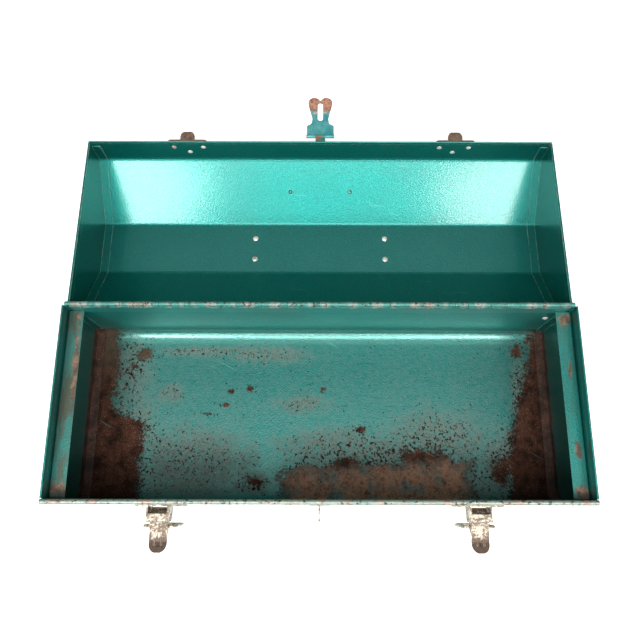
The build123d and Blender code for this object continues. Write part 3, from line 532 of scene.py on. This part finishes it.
# ---------------------------------------------------------------- the material of each node
lid_coat = wall_paint("lid_paint", dust=0.05, gloss=0.36, rub=1.0)
end_coat = wall_paint("end_paint", dust=0.15, gloss=0.40, rub=0.7, rusty_foot=True)
ledge_coat = ledge_paint()
rivet_metal = old_metal("rivet_steel", RIVET_BRIGHT, RIVET_DULL, rust_share=0.22, metallic=0.4)
catch_metal = old_metal("catch_steel", CATCH_TAN, CATCH_DARK, rust_share=0.5)
handle_metal = old_metal("handle_steel", STEEL_WORN, STEEL_DULL, rust_share=0.3)
badge_brass = old_metal("badge_metal", BRASS, BRASS_DULL, rust_share=0.15)
pin_metal = old_metal("pin_steel", STEEL_WORN, STEEL_DULL, rust_share=0.5)

COATS = {
    "body_shell": floor_paint(),
    "body_end": end_coat,
    "lid_shell": lid_coat,
    "lid_end": lid_coat,
    "tray_ledge": ledge_coat,
    "hinge_leaf": knuckle_metal(),
    "hinge_pin": pin_metal,
    "hasp_strap": hasp_metal(),
    "hasp_leaf": old_metal("hasp_leaf_steel", TEAL, STEEL_DULL, rust_share=0.7, metallic=0.4),
    "hasp_pin": pin_metal,
    "padlock_staple": old_metal("staple_steel", STEEL_WORN, STEEL_DULL, rust_share=0.5),
    "badge_plate": badge_brass,
    "badge_rivets": lid_coat,
    "stay_rivet": rivet_metal,
    "catch_rivets": rivet_metal,
    "latch_rivets": rivet_metal,
    "handle_rivets": rivet_metal,
    "catch": catch_metal,
    "latch": latch_metal(),
    "handle_grip": rubber_grip(),
    "handle": handle_metal,
}
# Width of the rounding on sharp edges, in millimetres.
BEVELS = {
    "latch": 0.25,
    "catch": 0.25,
    "hasp": 0.25,
    "padlock": 0.3,
    "tray": 0.15,
    "handle_bracket": 0.3,
}


def starting_with(table, node):
    """The value under the longest key that starts the node's name."""
    keys = [key for key in table if node.startswith(key)]
    return table[max(keys, key=len)] if keys else None


for name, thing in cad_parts.items():
    thing.data.materials.clear()
    thing.data.materials.append(starting_with(COATS, name))
    width = starting_with(BEVELS, name)
    if width:
        weld = thing.modifiers.new("weld", "WELD")
        weld.merge_threshold = 0.002 * MM
        bevel = thing.modifiers.new("bevel", "BEVEL")
        bevel.width = width * MM
        bevel.segments = 2
        bevel.angle_limit = radians(40)

# ---------------------------------------------------------------- floor, lights and camera
bpy.ops.mesh.primitive_plane_add(size=12)
floor = bpy.context.object
floor.name = "studio_floor"
floor.location.z = -0.2 * MM     # clear of the box's flat underside
sh = Shader("floor_white")
white = sh.mix(sh.noise(3, 2.0), FLOOR_PALE, FLOOR_PALER)
floor.data.materials.append(
    sh.finish(Base_Color=white, Roughness=0.9, Emission_Color=white, Emission_Strength=0.6)
)

scene = bpy.context.scene
scene.view_settings.view_transform = "Standard"
world = bpy.data.worlds.new("studio")
world.use_nodes = True
world.node_tree.nodes["Background"].inputs["Color"].default_value = (1.0, 1.0, 1.0, 1.0)
world.node_tree.nodes["Background"].inputs["Strength"].default_value = 0.20
scene.world = world


def softbox(name, place, aim, size, power):
    """A square-cornered area light that faces a point."""
    light = bpy.data.lights.new(name, "AREA")
    light.shape = "RECTANGLE"
    light.size, light.size_y = size
    light.energy = power
    lamp = bpy.data.objects.new(name, light)
    lamp.location = place
    lamp.rotation_euler = (Vector(aim) - Vector(place)).to_track_quat("-Z", "Y").to_euler()
    scene.collection.objects.link(lamp)


# Three banks in a row before the box shine back from the lid's slopes. Sizes in metres, powers in watts.
lid_low, lid_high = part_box("lid_shell")
lid_middle = (lid_low + lid_high) / 2
BANK_X, BANK_Y, BANK_Z = 0.66, -0.72, 1.30
softbox("left_bank", (-BANK_X, BANK_Y, BANK_Z), lid_middle, (0.42, 0.40), 12)
softbox("right_bank", (BANK_X, BANK_Y, BANK_Z), lid_middle, (0.42, 0.36), 10)
softbox("centre_bank", (0.0, BANK_Y, BANK_Z), lid_middle, (0.70, 0.50), 1)
softbox("low_front", (0.0, -1.30, 0.95), (0.0, 0.09, 0.0), (1.9, 0.16), 11)
softbox("overhead", (0.0, -0.45, 1.75), (0.0, 0.1, 0.0), (1.7, 0.7), 18)
softbox("rear_fill", (0.0, 0.95, 1.75), lid_middle, (1.6, 0.4), 1.4)

# The camera stands just behind the front wall and high above it, looking down and a little back.
EYE = Vector((0.2 * MM, 15.8 * MM - HALF_WIDTH, RIM_Z + 583.7 * MM))
TILT = radians(15.09)       # from straight down, towards the hinge
ROLL = 0.0027               # radians
lens = bpy.data.cameras.new("camera")
lens.lens = 34.85
lens.sensor_width = 36.0
camera = bpy.data.objects.new("camera", lens)
camera.matrix_world = Matrix.Translation(EYE) @ Matrix.Rotation(TILT, 4, "X") @ Matrix.Rotation(ROLL, 4, "Z")
scene.collection.objects.link(camera)
scene.camera = camera
